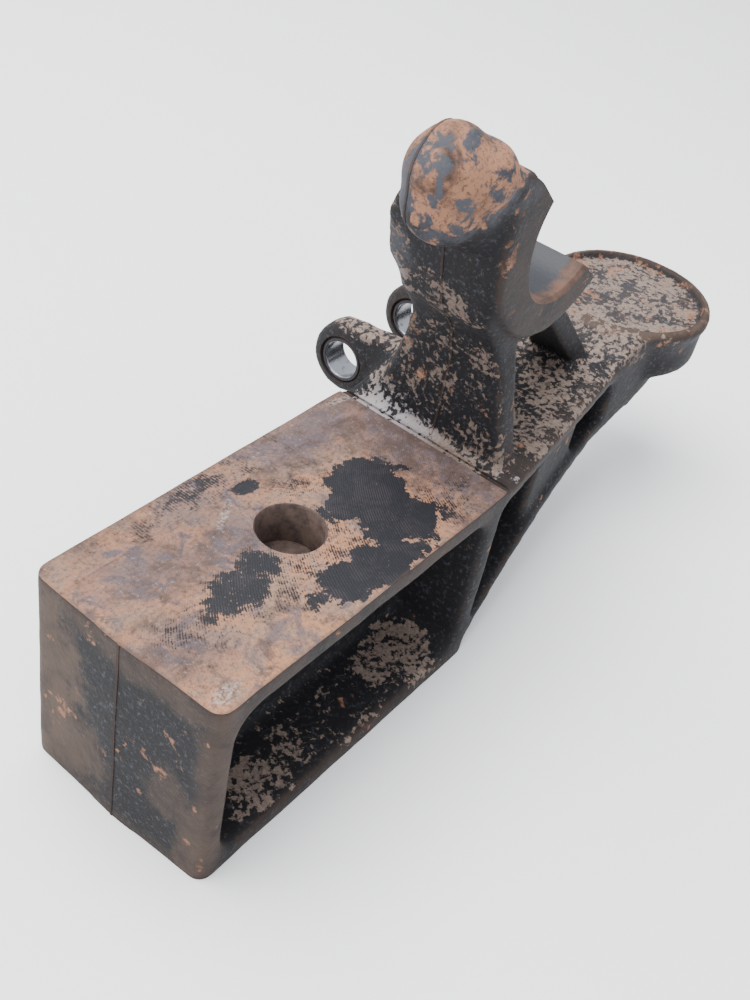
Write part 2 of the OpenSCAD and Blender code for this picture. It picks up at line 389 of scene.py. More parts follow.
@dataclass
class SeatBlock:
    """The pocketed block under the machined seat."""

    stock: float = 3.0
    front_draft: float = 2.0
    corner: float = 5.5
    base_corner: float = 1.5
    rim: float = 11.0
    floor: float = 8.5
    pocket_corner: float = 11.0
    pocket_draft: tuple[float, float] = (0.955, 0.925)
    core: float = 12.0
    boss: tuple[float, float] = (25.0, 32.0)

    def build(self) -> list[bpy.types.Object]:
        """Builds the block with stock left on the seat and the base, and the metal around the hole.

        Returns:
            The block and the hole's boss, as blanks.
        """
        low, high = box_mm("seat_plate", "front_wall", "rear_wall", "base_plate")
        block = Bench.box("block", (low.x, low.y, low.z - self.stock),
                          (high.x, high.y, high.z + self.stock))
        Bench.select(block, "FACE", lambda p, n: True)
        bpy.ops.mesh.bisect(plane_co=(0, 0, 0), plane_no=(0, 1, 0))
        Bench.leave()
        Bench.slide(block, lambda p, n: p.x < low.x + 1 and abs(p.y) < 1, (-self.front_draft, 0, 0))
        Bench.round_edges(block, lambda p, n: abs(n.z) > 0.9 and p.x < 0 and abs(p.y) > 1, self.corner)
        Bench.round_edges(block, lambda p, n: abs(n.z) < 0.2 and p.z < low.z and
                          (p.x < low.x + self.corner or abs(p.y) > high.y - 1), self.base_corner, 3)
        for side in (-1, 1):
            Bench.combine(block, self.pocket(low, high, side), Cut.REMOVE)
        radius, depth = self.boss
        boss = Bench.turned("hole_boss", (0, 0, 0), Axis.Z, [(radius, -depth), (radius, -self.rim / 2)])
        return [block, boss]

    def pocket(self, low: Vector, high: Vector, side: int) -> bpy.types.Object:
        """The tapering shape that one side pocket is cut with.

        Args:
            low: the block's lowest corner.
            high: the block's highest corner.
            side: -1 for the right side, 1 for the side of the ears.

        Returns:
            The cutter.
        """
        ends = sorted((side * self.core, side * (high.y + 2)))
        cutter = Bench.box("pocket", (low.x + self.rim, ends[0], low.z + self.floor),
                           (high.x - self.rim, ends[1], -self.rim))
        Bench.select(cutter, "FACE", lambda p, n: n.y * side < -0.9)
        length_share, height_share = self.pocket_draft
        bpy.ops.transform.resize(value=(length_share, 1, height_share),
                                 center_override=metres((0, side * self.core, (low.z - 2) / 2)))
        Bench.leave()
        Bench.round_edges(cutter, lambda p, n: abs(n.y) > 0.8, self.pocket_corner, 8)
        return cutter


@dataclass
class Arm:
    """The tapering arm: flanges, web and ribs, and the gusset beside the post."""

    members: tuple[str, ...] = ("arm_top_flange", "arm_web", "arm_bottom_flange", "arm_rib_right",
                                "arm_rib_left", "ear_rib", "arm_neck")
    gusset_low: Point = (97.5, 24.0, -3.0)
    gusset_high: Point = (118.0, 49.0, 25.0)
    lean: float = 15.0
    front_slope: float = 8.0
    corner_cut: float = 5.0

    def build(self) -> list[bpy.types.Object]:
        """Builds the arm's blanks."""
        return [Bench.cad_copy(node) for node in self.members] + [self.gusset()]

    def gusset(self) -> bpy.types.Object:
        """The wedge between the post's foot and the front ear."""
        wedge = Bench.box("gusset", self.gusset_low, self.gusset_high)
        top, front, side = self.gusset_high[2], self.gusset_low[0] + 1, self.gusset_high[1] - 1
        Bench.slide(wedge, lambda p, n: p.z > top - 1 and p.y > side, (0, -self.lean, 0))
        Bench.slide(wedge, lambda p, n: p.z > top - 1 and p.x < front, (self.front_slope, 0, 0))
        Bench.slide(wedge, lambda p, n: p.y > side - self.lean - 1 and p.x < front + self.front_slope
                    and p.z > 0, (self.corner_cut, 0, 0))
        return wedge


@dataclass
class Pad:
    """The round pad with its raised lip, hollow underneath."""

    lip_round: float = 1.6
    lip: float = 5.5
    lip_height: float = 7.0
    overhang: float = 2.0
    wall: float = 9.0
    foot: float = 1.5
    sink: float = 3.4
    floor_fall: float = 0.6

    def build(self) -> list[bpy.types.Object]:
        """Builds the pad as one turned shape.

        Returns:
            The pad's blank.
        """
        low, high = box_mm("round_pad")
        middle = (low + high) / 2
        radius = (high.y - low.y) / 2
        skirt, under = radius - self.overhang, high.z - self.lip_height
        inner, foot, bend = skirt - self.wall, self.foot, self.lip_round
        rings = [(inner, high.z - self.sink - self.wall), (inner, low.z + foot), (inner + foot, low.z),
                 (skirt - foot, low.z), (skirt, low.z + foot), (skirt, under - 0.5),
                 (radius, under + 1.0), (radius, high.z - bend), (radius - bend, high.z),
                 (2.0, high.z)]
        return [Bench.turned("pad", (middle.x, 0, 0), Axis.Z, rings, 128)]

    def cutters(self) -> list[bpy.types.Object]:
        """The shape that sinks the pad's floor below its lip."""
        low, high = box_mm("round_pad")
        inner = (high.y - low.y) / 2 - self.lip
        floor = high.z - self.sink
        rings = [(inner + 1.4, high.z + 1.4), (inner + 0.6, high.z - 0.4), (inner, high.z - 1.2),
                 (inner - 1.0, floor), (inner / 2, floor - self.floor_fall / 2),
                 (2.0, floor - self.floor_fall)]
        return [Bench.turned("pad_cut", ((low.x + high.x) / 2, 0, 0), Axis.Z, rings, 128)]


@dataclass
class Saddle:
    """The open tube saddle on its post, with the boss on its back and the strut behind."""

    members: tuple[str, ...] = ("saddle_post", "tube_saddle", "saddle_boss", "saddle_strut")
    tube_radius: float = 34.0
    wall: float = 18.5
    split_drop: float = 5.0
    mouth: float = math.radians(48)
    bevel: float = 1.8
    split_stock: float = 8.0
    stock_depth: float = 12.0
    core_depth: float = 6.0
    half_width: float = 31.0
    snug: float = 0.02
    slack: float = 0.6
    crown_slope: Point = (0.0, 0.954, 0.301)
    # Each lump of the boss: how far behind, beside and above its nose, and the radius
    lumps: tuple[tuple[float, float, float, float], ...] = (
        (0.0, 0.0, 5.5, 14.5), (0.0, 0.0, -11.0, 17.0), (8.5, -8.5, 1.0, 14.0))

    def axis_point(self) -> Vector:
        """The middle of the tube's axis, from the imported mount."""
        mounts = {mount["name"]: mount for mount in frame["record"]["mounts"]}
        return Vector(mounts["tube_saddle"]["pos_m"]) / MM

    def mouth_way(self) -> Vector:
        """The direction that the saddle's mouth faces."""
        return Vector((math.cos(self.mouth), 0, math.sin(self.mouth)))

    def build(self) -> list[bpy.types.Object]:
        """Builds the blanks, with stock in the bore and on the split faces."""
        centre, (low, high) = self.axis_point(), box_mm("tube_saddle")
        radius = self.tube_radius + self.wall
        stock = Bench.turned("saddle_stock", (centre.x, 0, centre.z), Axis.Y,
                             [(radius, low.y), (radius, high.y)])
        way, core_radius = self.mouth_way(), radius - self.core_depth
        Bench.keep_slab(stock, centre - way * (self.split_drop + self.stock_depth), -way)
        Bench.keep_slab(stock, centre + way * self.split_stock, way)
        core = Bench.turned("bore_stock", (centre.x, 0, centre.z), Axis.Y,
                            [(core_radius, low.y), (core_radius, high.y)])
        for blank in (stock, core):
            Bench.keep_slab(blank, (centre.x, high.y, centre.z), self.crown_slope)
        thumb = [self.ball(*lump) for lump in self.lumps]
        return [Bench.cad_copy(node) for node in self.members] + [stock, core] + thumb

    def ball(self, back: float, side: float, lift: float, radius: float) -> bpy.types.Object:
        """One of the lumps that make the boss as long as a thumb.

        Args:
            back: how far behind the boss's nose the lump's centre is.
            side: how far beside it the centre is, counted towards the ears.
            lift: how far above it the centre is.
            radius: the lump's radius.

        Returns:
            The blank.
        """
        low, high = box_mm("saddle_boss")
        nose = (high.y - low.y) / 2
        rings = [(radius * math.cos(angle), radius * math.sin(angle))
                 for angle in (math.radians(step) for step in range(-80, 81, 10))]
        centre = (low.x + nose + back, (low.y + high.y) / 2 + side, high.z - nose + lift)
        return Bench.turned("thumb", centre, Axis.Z, rings, 40)

    def is_machined(self, middle: Vector, normal: Vector) -> bool:
        """Whether a face lies in the bore, on its bevels or on a split face."""
        offset = middle - self.axis_point()
        away, high = math.hypot(offset.x, offset.z), offset.dot(self.mouth_way())
        near = abs(offset.y) < self.half_width and high < self.tube_radius
        on_split = abs(high + self.split_drop) < self.snug and normal.dot(self.mouth_way()) > 0.99
        inward = (normal.x * offset.x + normal.z * offset.z) / max(away, 1) < -0.3
        return near and (on_split or (away < self.tube_radius + self.bevel + self.slack and inward))

    def cutters(self) -> list[bpy.types.Object]:
        """The shapes that the tube's bore and the split faces are machined with."""
        centre, (low, high) = self.axis_point(), box_mm("tube_saddle")
        radius, edge, past = self.tube_radius, self.bevel, 3.0
        rings = [(radius + edge + past, low.y - past), (radius, low.y + edge), (radius, high.y - edge),
                 (radius + edge + past, high.y + past)]
        bore = Bench.turned("bore_cut", (centre.x, 0, centre.z), Axis.Y, rings, 160)
        reach = 120.0
        split = Bench.box("split_cut", (-reach, -reach, 0), (reach, reach, reach))
        split.rotation_euler = (0, math.pi / 2 - self.mouth, 0)
        split.location = metres(centre - self.mouth_way() * self.split_drop)
        Bench.settle(split)
        return [bore, split]


@dataclass
class Ears:
    """The two ears beside the arm that hold the cross pin."""

    members: tuple[str, ...] = ("front_ear", "rear_ear")
    hub_rise: float = 1.6
    hub_radius: float = 17.0
    bush_radius: float = 12.0

    def pin(self) -> Vector:
        """A point on the pin's axis."""
        low, high = box_mm("front_ear_bush")
        return (low + high) / 2

    def spans(self) -> list[tuple[float, float]]:
        """Where each ear starts and ends along the arm."""
        return [(box_mm(node)[0].x, box_mm(node)[1].x) for node in self.members]

    def build(self) -> list[bpy.types.Object]:
        """Builds the ears' blanks, with a raised hub on each face."""
        pin, hubs = self.pin(), []
        for start, end in self.spans():
            rise = self.hub_rise
            hubs.append(Bench.turned("hub", (0, pin.y, pin.z), Axis.X,
                                     [(self.hub_radius - rise, start - rise), (self.hub_radius, start),
                                      (self.hub_radius, end), (self.hub_radius - rise, end + rise)]))
        return [Bench.cad_copy(node) for node in self.members] + hubs

    def cutters(self) -> list[bpy.types.Object]:
        """The shapes that the bush holes and the hub faces are machined with."""
        pin, shapes = self.pin(), []
        for start, end in self.spans():
            middle, half, face = (start + end) / 2, (end - start) / 2 + self.hub_rise - 0.5, 6.0
            radius = self.bush_radius
            rings = [(radius + 1, half + face), (radius + 1, half + 1), (radius + 0.7, half),
                     (radius, half - 0.8), (radius, 0.8 - half), (radius + 0.7, -half),
                     (radius + 1, -half - 1), (radius + 1, -half - face)]
            shapes.append(Bench.turned("bush_cut", (middle, pin.y, pin.z), Axis.X, rings[::-1]))
        return shapes


@dataclass
class Bush:
    """One steel bush pressed into an ear."""

    node: str
    wall: float = 2.5
    proud: float = 0.9
    bevel: float = 0.7

    def build(self) -> bpy.types.Object:
        """Builds the bush as a turned ring with bevelled mouths.

        Returns:
            The finished piece, without its finish.
        """
        low, high = box_mm(self.node)
        pin, outer = (low + high) / 2, (high.y - low.y) / 2
        inner, half = outer - self.wall, (high.x - low.x) / 2 + self.proud
        bevel = self.bevel
        ring = Bench.turned(f"{self.node}_ring", pin, Axis.X,
                            [(outer - bevel, -half), (outer, bevel - half), (outer, half - bevel),
                             (outer - bevel, half)], 128)
        bore = Bench.turned("pin_bore", pin, Axis.X,
                            [(inner + bevel + 1, -half - 1), (inner, bevel - half), (inner, half - bevel),
                             (inner + bevel + 1, half + 1)], 128)
        Bench.combine(ring, bore, Cut.REMOVE)
        Bench.pick(ring)
        bpy.ops.object.shade_smooth_by_angle(angle=math.radians(30))
        ring.data.materials.append(BushSteel().make())
        return ring


class Face(Enum):
    """The kinds of surface on the casting, each with its own finish."""

    CAST = 0
    SEAT = 1
    HOLE = 2
    BORE = 3


@dataclass
class Casting:
    """The whole iron casting, as one skin."""

    block: SeatBlock = field(default_factory=SeatBlock)
    arm: Arm = field(default_factory=Arm)
    pad: Pad = field(default_factory=Pad)
    saddle: Saddle = field(default_factory=Saddle)
    ears: Ears = field(default_factory=Ears)
    grid: float = 1.9
    edge: float = 2.6
    fillet: float = 7.0
    fine_fillet: float = 2.5
    boss_fillet: float = 20.0
    fairing: tuple[int, int] = (9, 5)
    passes: int = 160
    wave: float = 22.0
    wave_height: float = 0.7
    crease: float = math.radians(42)
    flash: float = 0.4
    flash_half: float = 0.3
    flash_end: float = 110.0
    hole: tuple[float, float] = (15.0, 22.0)
    step: tuple[float, float] = (2.6, 1.3)
    seat_end: float = 93.6
    pad_from: tuple[float, float] = (240.0, -4.0)
    boss_from: tuple[float, float] = (110.0, 128.0)

    def build(self) -> bpy.types.Object:
        """Builds, fuses, fairs and machines the casting.

        Returns:
            The finished mesh, without its finish.
        """
        blanks = (self.block.build() + self.arm.build() + self.pad.build() + self.saddle.build()
                  + self.ears.build())
        body = Bench.join("casting", blanks)
        Bench.fuse(body, self.grid)
        LOG.info("fused skin: %d faces", len(body.data.polygons))
        Bench.smooth(body, self.fairing[0])
        Skin(body, self.grid).flow(self.passes, self.fillet_at, self.edge)
        Bench.smooth(body, self.fairing[1])
        self.roughen(body)
        self.add_flash(body)
        self.machine(body)
        Bench.pick(body)
        bpy.ops.object.shade_smooth_by_angle(angle=self.crease)
        return body

    def dress(self, body: bpy.types.Object) -> None:
        """Gives each kind of surface its finish, and marks the outer edges.

        Args:
            body: the casting's mesh, which is changed.
        """
        for finish in (WornPaint(), MilledSeat(), RustyHole(), BoredSaddle()):
            body.data.materials.append(finish.make())
        kinds = [self.kind_of(face.center / MM, face.normal).value for face in body.data.polygons]
        body.data.polygons.foreach_set("material_index", kinds)
        bend = Skin(body, self.grid).bend(self.edge)
        corners = np.empty(len(body.data.loops), np.int64)
        body.data.loops.foreach_get("vertex_index", corners)
        sides = np.empty(len(body.data.polygons), np.int64)
        body.data.polygons.foreach_get("loop_total", sides)
        rough = np.repeat(np.array(kinds) == Face.CAST.value, sides)
        wear = body.data.attributes.new(WEAR, "FLOAT", "CORNER")
        wear.data.foreach_set("value", np.where(rough, bend[corners], 0).astype(np.float32))

    def kind_of(self, middle: Vector, normal: Vector) -> Face:
        """The kind of surface that a face belongs to.

        Args:
            middle: the face's middle, in millimetres.
            normal: the face's direction.

        Returns:
            The kind.
        """
        radius, depth = self.hole
        if math.hypot(middle.x, middle.y) < radius + 0.9 and -depth - 3 < middle.z < -0.01:
            return Face.HOLE
        if abs(middle.z) < 0.01 and normal.z > 0.99 and middle.x < self.seat_end:
            return Face.SEAT
        return Face.BORE if self.saddle.is_machined(middle, normal) else Face.CAST

    def fillet_at(self, points: np.ndarray) -> np.ndarray:
        """The inner radius wanted at each point.

        Args:
            points: the skin's points, in millimetres.

        Returns:
            One radius per point, in millimetres.
        """
        along, up = points[:, 0], points[:, 2]
        on_pad = (along > self.pad_from[0]) & (up > self.pad_from[1])
        by_boss = (along < self.boss_from[0]) & (up > self.boss_from[1])
        return np.select([on_pad, by_boss], [self.fine_fillet, self.boss_fillet], self.fillet)

    def roughen(self, body: bpy.types.Object) -> None:
        """Gives the skin the slight unevenness of sand casting."""
        waves = bpy.data.textures.new("sand_waves", "CLOUDS")
        waves.noise_scale, waves.noise_depth = self.wave * MM, 2
        Bench.swell(body, self.wave_height, waves)

    def add_flash(self, body: bpy.types.Object) -> None:
        """Adds the thin ridge that the mould's two halves left along the middle."""
        ridge = body.copy()
        ridge.data = body.data.copy()
        bpy.context.scene.collection.objects.link(ridge)
        for side in (-1, 1):
            Bench.keep_slab(ridge, (0, side * self.flash_half, 0), (0, side, 0))
        Bench.keep_slab(ridge, (self.flash_end, 0, 0), (1, 0, 0))
        Bench.swell(ridge, self.flash)
        Bench.combine(body, ridge, Cut.ADD)

    def machine(self, body: bpy.types.Object) -> None:
        """Cuts the base, seat, step, hole, pad, saddle and bush holes."""
        low, high = box_mm("seat_plate")
        ground = box_mm("base_plate")[0].z
        reach, tall = 60.0, 16.0
        step_run, step_drop = self.step
        radius, depth = self.hole
        base = Bench.box("base_cut", (low.x - reach, -reach, ground - tall),
                         (high.x + reach, reach, ground))
        seat = Bench.box("seat_cut", (low.x - reach, -reach, 0), (high.x, reach, tall))
        groove = Bench.box("groove_cut", (high.x - 1, -reach, -step_drop),
                           (high.x + step_run, reach, tall))
        hole = Bench.turned("hole_cut", (0, 0, 0), Axis.Z,
                            [(radius + 3, 2.2), (radius + 0.8, 0), (radius, -0.9), (radius, 1 - depth),
                             (radius - 1, -depth), (4.0, -depth - 0.3), (1.0, -depth - 1.6)])
        fitted = self.pad.cutters() + self.saddle.cutters() + self.ears.cutters()
        for cutter in [base, groove, seat, hole] + fitted:
            name = cutter.name
            Bench.combine(body, cutter, Cut.REMOVE)
            LOG.info("after %s: %d faces", name, len(body.data.polygons))


@dataclass
class Graph:
    """A node tree that is being wired. Places are in millimetres."""

    tree: bpy.types.NodeTree

    def add(self, kind: str, feeds: Optional[dict[Union[str, int], Feed]] = None,
            **settings: object) -> bpy.types.Node:
        """Adds a node, with its settings and what feeds its inputs.

        Args:
            kind: the node's type.
            feeds: an input's name or number, and the socket or constant it gets.
            settings: the node's own properties.

        Returns:
            The node.
        """
        node = self.tree.nodes.new(kind)
        for name, value in settings.items():
            setattr(node, name, value)
        for name, feed in (feeds or {}).items():
            if isinstance(feed, bpy.types.NodeSocket):
                self.tree.links.new(feed, node.inputs[name])
            else:
                node.inputs[name].default_value = feed
        return node

    def math(self, kind: str, *feeds: Feed, clamp: bool = False) -> Socket:
        """One step of arithmetic on numbers."""
        node = self.add("ShaderNodeMath", dict(enumerate(feeds)), operation=kind, use_clamp=clamp)
        return node.outputs[0]

    def vector(self, kind: str, *feeds: Feed) -> Socket:
        """One step of arithmetic on vectors."""
        node = self.add("ShaderNodeVectorMath", dict(enumerate(feeds)), operation=kind)
        return node.outputs["Value" if kind in ("LENGTH", "DOT_PRODUCT") else "Vector"]

    def parts(self, vector: Socket) -> list[Socket]:
        """A vector's three numbers."""
        return list(self.add("ShaderNodeSeparateXYZ", {0: vector}).outputs)

    def noise(self, place: Socket, grain: Feed, detail: float = 4, rough: float = 0.55,
              twist: float = 0.0) -> Socket:
        """Cloudy noise from 0 to 1.

        Args:
            place: where it is read.
            grain: the size of its largest spots.
            detail: how many finer layers it has.
            rough: how strong the finer layers are.
            twist: how far it is distorted.

        Returns:
            The noise.
        """
        scale = 1 / grain if isinstance(grain, (int, float)) else self.math("DIVIDE", 1.0, grain)
        return self.add("ShaderNodeTexNoise", {"Vector": place, "Scale": scale, "Detail": detail,
                                               "Roughness": rough, "Distortion": twist}).outputs[0]

    def step(self, value: Feed, low: Feed, high: Feed) -> Socket:
        """A smooth step from 0 at low to 1 at high."""
        return self.add("ShaderNodeMapRange", {0: value, 1: low, 2: high},
                        interpolation_type="SMOOTHSTEP").outputs[0]

    def part(self, value: Feed, low: Feed, high: Feed, share: float) -> Socket:
        """A smooth step from 0 at low to a share at high."""
        return self.math("MULTIPLY", self.step(value, low, high), share)

    def stir(self, cloud: Socket, amount: Feed, value: Feed) -> Socket:
        """A value with a noise's swing about its middle added, times an amount."""
        return self.math("MULTIPLY_ADD", self.math("SUBTRACT", cloud, 0.5), amount, value)

    def away(self, place: Socket, centre: Point, ways: Point) -> Socket:
        """The distance from a centre, counted along some axes only."""
        offset = self.vector("SUBTRACT", place, centre)
        return self.vector("LENGTH", self.vector("MULTIPLY", offset, ways))

    def blend(self, share: Feed, low: Feed, high: Feed) -> Socket:
        """Two colours mixed by a share."""
        return self.add("ShaderNodeMix", {0: share, 6: low, 7: high}, data_type="RGBA").outputs[2]

    def most(self, *feeds: Feed) -> Socket:
        """The largest of some numbers."""
        top = feeds[0]
        for feed in feeds[1:]:
            top = self.math("MAXIMUM", top, feed)
        return top

    def use(self, group: bpy.types.NodeTree, **feeds: Feed) -> bpy.types.Node:
        """Places a node group and feeds its inputs by name."""
        return self.add("ShaderNodeGroup", feeds, node_tree=group)


def tint(red: int, green: int, blue: int) -> tuple[float, float, float, float]:
    """A colour from 0 to 255 as it looks in the studio, as the linear colour that shaders take."""
    def linear(level: float) -> float:
        """One channel, made linear."""
        return LIT * (level / 12.92 if level <= 0.04045 else ((level + 0.055) / 1.055) ** 2.4)
    return linear(red / 255), linear(green / 255), linear(blue / 255), 1.0


class Effect:
    """A shader node group that several finishes share."""

    name: str = ""
    inputs: dict[str, str] = {}
    outputs: dict[str, str] = {}

    def make(self) -> bpy.types.NodeTree:
        """Builds the group on first use, and gives the same one after that.

        Returns:
            The group's node tree.
        """
        if self.name in bpy.data.node_groups:
            return bpy.data.node_groups[self.name]
        tree = bpy.data.node_groups.new(self.name, "ShaderNodeTree")
        for way, sockets in (("INPUT", self.inputs), ("OUTPUT", self.outputs)):
            for name, kind in sockets.items():
                tree.interface.new_socket(name, in_out=way, socket_type=f"NodeSocket{kind}")
        graph = Graph(tree)
        given = graph.add("NodeGroupInput").outputs
        results = self.wire(graph, {name: given[name] for name in self.inputs})
        taken = graph.add("NodeGroupOutput").inputs
        for name, socket in results.items():
            tree.links.new(socket, taken[name])
        return tree

    def wire(self, graph: Graph, given: dict[str, Socket]) -> dict[str, Socket]:
        """Wires the group's inside; each effect has its own."""
        raise NotImplementedError


class RaggedPatch(Effect):
    """A patch with a torn edge, at a place and of a size."""

    name = "ragged_patch"
    inputs = {"Place": "Vector", "Torn": "Float", "Middle": "Vector", "Reach": "Vector", "Turn": "Float",
              "Rag": "Float", "Soft": "Float"}
    outputs = {"Mask": "Float"}

    def wire(self, graph: Graph, given: dict[str, Socket]) -> dict[str, Socket]:
        """The distance to the middle in units of the reach, torn by noise."""
        local = graph.vector("SUBTRACT", given["Place"], given["Middle"])
        turned = graph.add("ShaderNodeVectorRotate", {"Vector": local, "Angle": given["Turn"]},
                           rotation_type="Z_AXIS").outputs[0]
        away = graph.vector("LENGTH", graph.vector("DIVIDE", turned, given["Reach"]))
        edge = graph.math("MULTIPLY_ADD", given["Torn"], given["Rag"], away)
        outside = graph.math("ADD", 1.0, given["Soft"])
        return {"Mask": graph.step(edge, outside, graph.math("SUBTRACT", 1.0, given["Soft"]))}


class Flakes(Effect):
    """Small flakes in loose clusters, that cover a given share of the surface."""

    name = "flakes"
    inputs = {"Place": "Vector", "Grain": "Float", "Cover": "Float", "Soft": "Float"}
    outputs = {"Mask": "Float"}

    def wire(self, graph: Graph, given: dict[str, Socket]) -> dict[str, Socket]:
        """Fine noise lifted by coarse noise, cut at a level."""
        fine = graph.noise(given["Place"], given["Grain"], 7, 0.62, 0.3)
        coarse = graph.noise(given["Place"], graph.math("MULTIPLY", given["Grain"], 5.0), 2, 0.5)
        level = graph.stir(coarse, 0.45, fine)
        cut = graph.math("MULTIPLY_ADD", graph.math("SUBTRACT", 0.5, given["Cover"]), 0.5, 0.5)
        mask = graph.step(level, graph.math("SUBTRACT", cut, given["Soft"]),
                          graph.math("ADD", cut, given["Soft"]))
        return {"Mask": mask}


class SandSkin(Effect):
    """The height of a sand-cast skin: grain, pits and lumps."""

    name = "sand_skin"
    inputs = {"Place": "Vector"}
    outputs = {"Height": "Float"}

    def wire(self, graph: Graph, given: dict[str, Socket]) -> dict[str, Socket]:
        """Two layers of noise, less a few pits."""
        place = given["Place"]
        lumps = graph.noise(place, 7.0, 5, 0.6)
        grain = graph.noise(place, 1.1, 3, 0.6)
        spots = graph.add("ShaderNodeTexVoronoi", {"Vector": place, "Scale": 0.3}, feature="F1")
        pit = graph.step(spots.outputs[0], 0.26, 0.06)
        height = graph.math("MULTIPLY_ADD", grain, 0.35, lumps)
        return {"Height": graph.math("MULTIPLY_ADD", pit, -0.2, height)}


class CutterMarks(Effect):
    """The arcs that a face mill leaves as it travels along the seat."""

    name = "cutter_marks"
    inputs = {"Place": "Vector", "Sweep": "Float", "Offset": "Float", "Feed": "Float"}
    outputs = {"Height": "Float"}

    def wire(self, graph: Graph, given: dict[str, Socket]) -> dict[str, Socket]:
        """Even ridges along the travel, bent to the cutter's sweep."""
        along, across, _ = graph.parts(given["Place"])
        square = graph.math("SUBTRACT", graph.math("POWER", given["Sweep"], 2.0),
                            graph.math("POWER", graph.math("ADD", across, given["Offset"]), 2.0))
        front = graph.math("ADD", along, graph.math("SQRT", graph.math("MAXIMUM", square, 0.0)))
        turns = graph.math("DIVIDE", front, given["Feed"])
        wave = graph.math("PINGPONG", turns, 0.5)
        return {"Height": graph.math("MULTIPLY", wave, 2.0)}


class EdgeWear(Effect):
    """Where handling has worn the outer edges through."""

    name = "edge_wear"
    inputs = {"Place": "Vector", "Bend": "Float", "Amount": "Float"}
    outputs = {"Mask": "Float"}

    def wire(self, graph: Graph, given: dict[str, Socket]) -> dict[str, Socket]:
        """The outward bend of the surface, broken up by noise."""
        level = graph.stir(graph.noise(given["Place"], 6.0, 6, 0.65), 1.3, given["Bend"])
        cut = graph.math("SUBTRACT", 1.0, given["Amount"])
        return {"Mask": graph.step(level, graph.math("SUBTRACT", cut, 0.14), graph.math("ADD", cut, 0.14))}


@dataclass(frozen=True)
class Zone:
    """A soft or ragged area of the casting, in millimetres."""

    middle: Point
    reach: Point
    amount: float = 1.0
    turn: float = 0.0
    rag: float = 1.6
    soft: float = 0.12

    def mask(self, graph: Graph, place: Socket, torn: Socket) -> Socket:
        """The zone's mask, times its amount."""
        patch = graph.use(RaggedPatch().make(), Place=place, Torn=torn, Middle=self.middle,
                          Reach=self.reach, Turn=math.radians(self.turn), Rag=self.rag, Soft=self.soft)
        return graph.math("MULTIPLY", patch.outputs[0], self.amount)


def seat_zone(along: float, across: float, long: float, wide: float, amount: float, turn: float = 0.0,
              **edge: float) -> Zone:
    """A zone of the seat: its middle, its half length and half width, and the rest as for any zone."""
    return Zone((along, across, 0), (long, wide, DEEP), amount, turn, **edge)


@dataclass
class Zoning:
    """Draws zones with one shared tearing noise."""

    graph: Graph
    place: Socket
    grain: float = 15.0

    def __post_init__(self) -> None:
        """Wires the noise once."""
        cloud = self.graph.noise(self.place, self.grain, 10, 0.68)
        self.torn = self.graph.math("SUBTRACT", cloud, 0.5)

    def most(self, zones: Iterable[Zone]) -> Socket:
        """The strongest of several zones at each point."""
        return self.graph.most(*(zone.mask(self.graph, self.place, self.torn) for zone in zones))


class Finish:
    """A material. Each finish wires its own colour, roughness and relief."""

    name: str = ""
    metal: float = 0.0
    gloss: float = 0.22

    def make(self) -> bpy.types.Material:
        """Builds the material.

        Returns:
            The material, ready to be put in a slot.
        """
        material = bpy.data.materials.new(self.name)
        material.use_nodes = True
        graph = Graph(material.node_tree)
        shader = material.node_tree.nodes["Principled BSDF"]
        spot = graph.add("ShaderNodeTexCoord").outputs["Object"]
        place = graph.vector("MULTIPLY", spot, (1 / MM, 1 / MM, 1 / MM))
        colour, rough, height = self.wire(graph, place)
        bump = graph.add("ShaderNodeBump", {"Strength": 1.0, "Distance": MM, "Height": height})
        shader.inputs["Metallic"].default_value = self.metal
        shader.inputs["Specular IOR Level"].default_value = self.gloss
        for name, socket in (("Base Color", colour), ("Roughness", rough), ("Normal", bump.outputs[0])):
            material.node_tree.links.new(socket, shader.inputs[name])
        return material

    def wire(self, graph: Graph, place: Socket) -> tuple[Socket, Socket, Socket]:
        """Wires the look; each finish has its own."""
        raise NotImplementedError


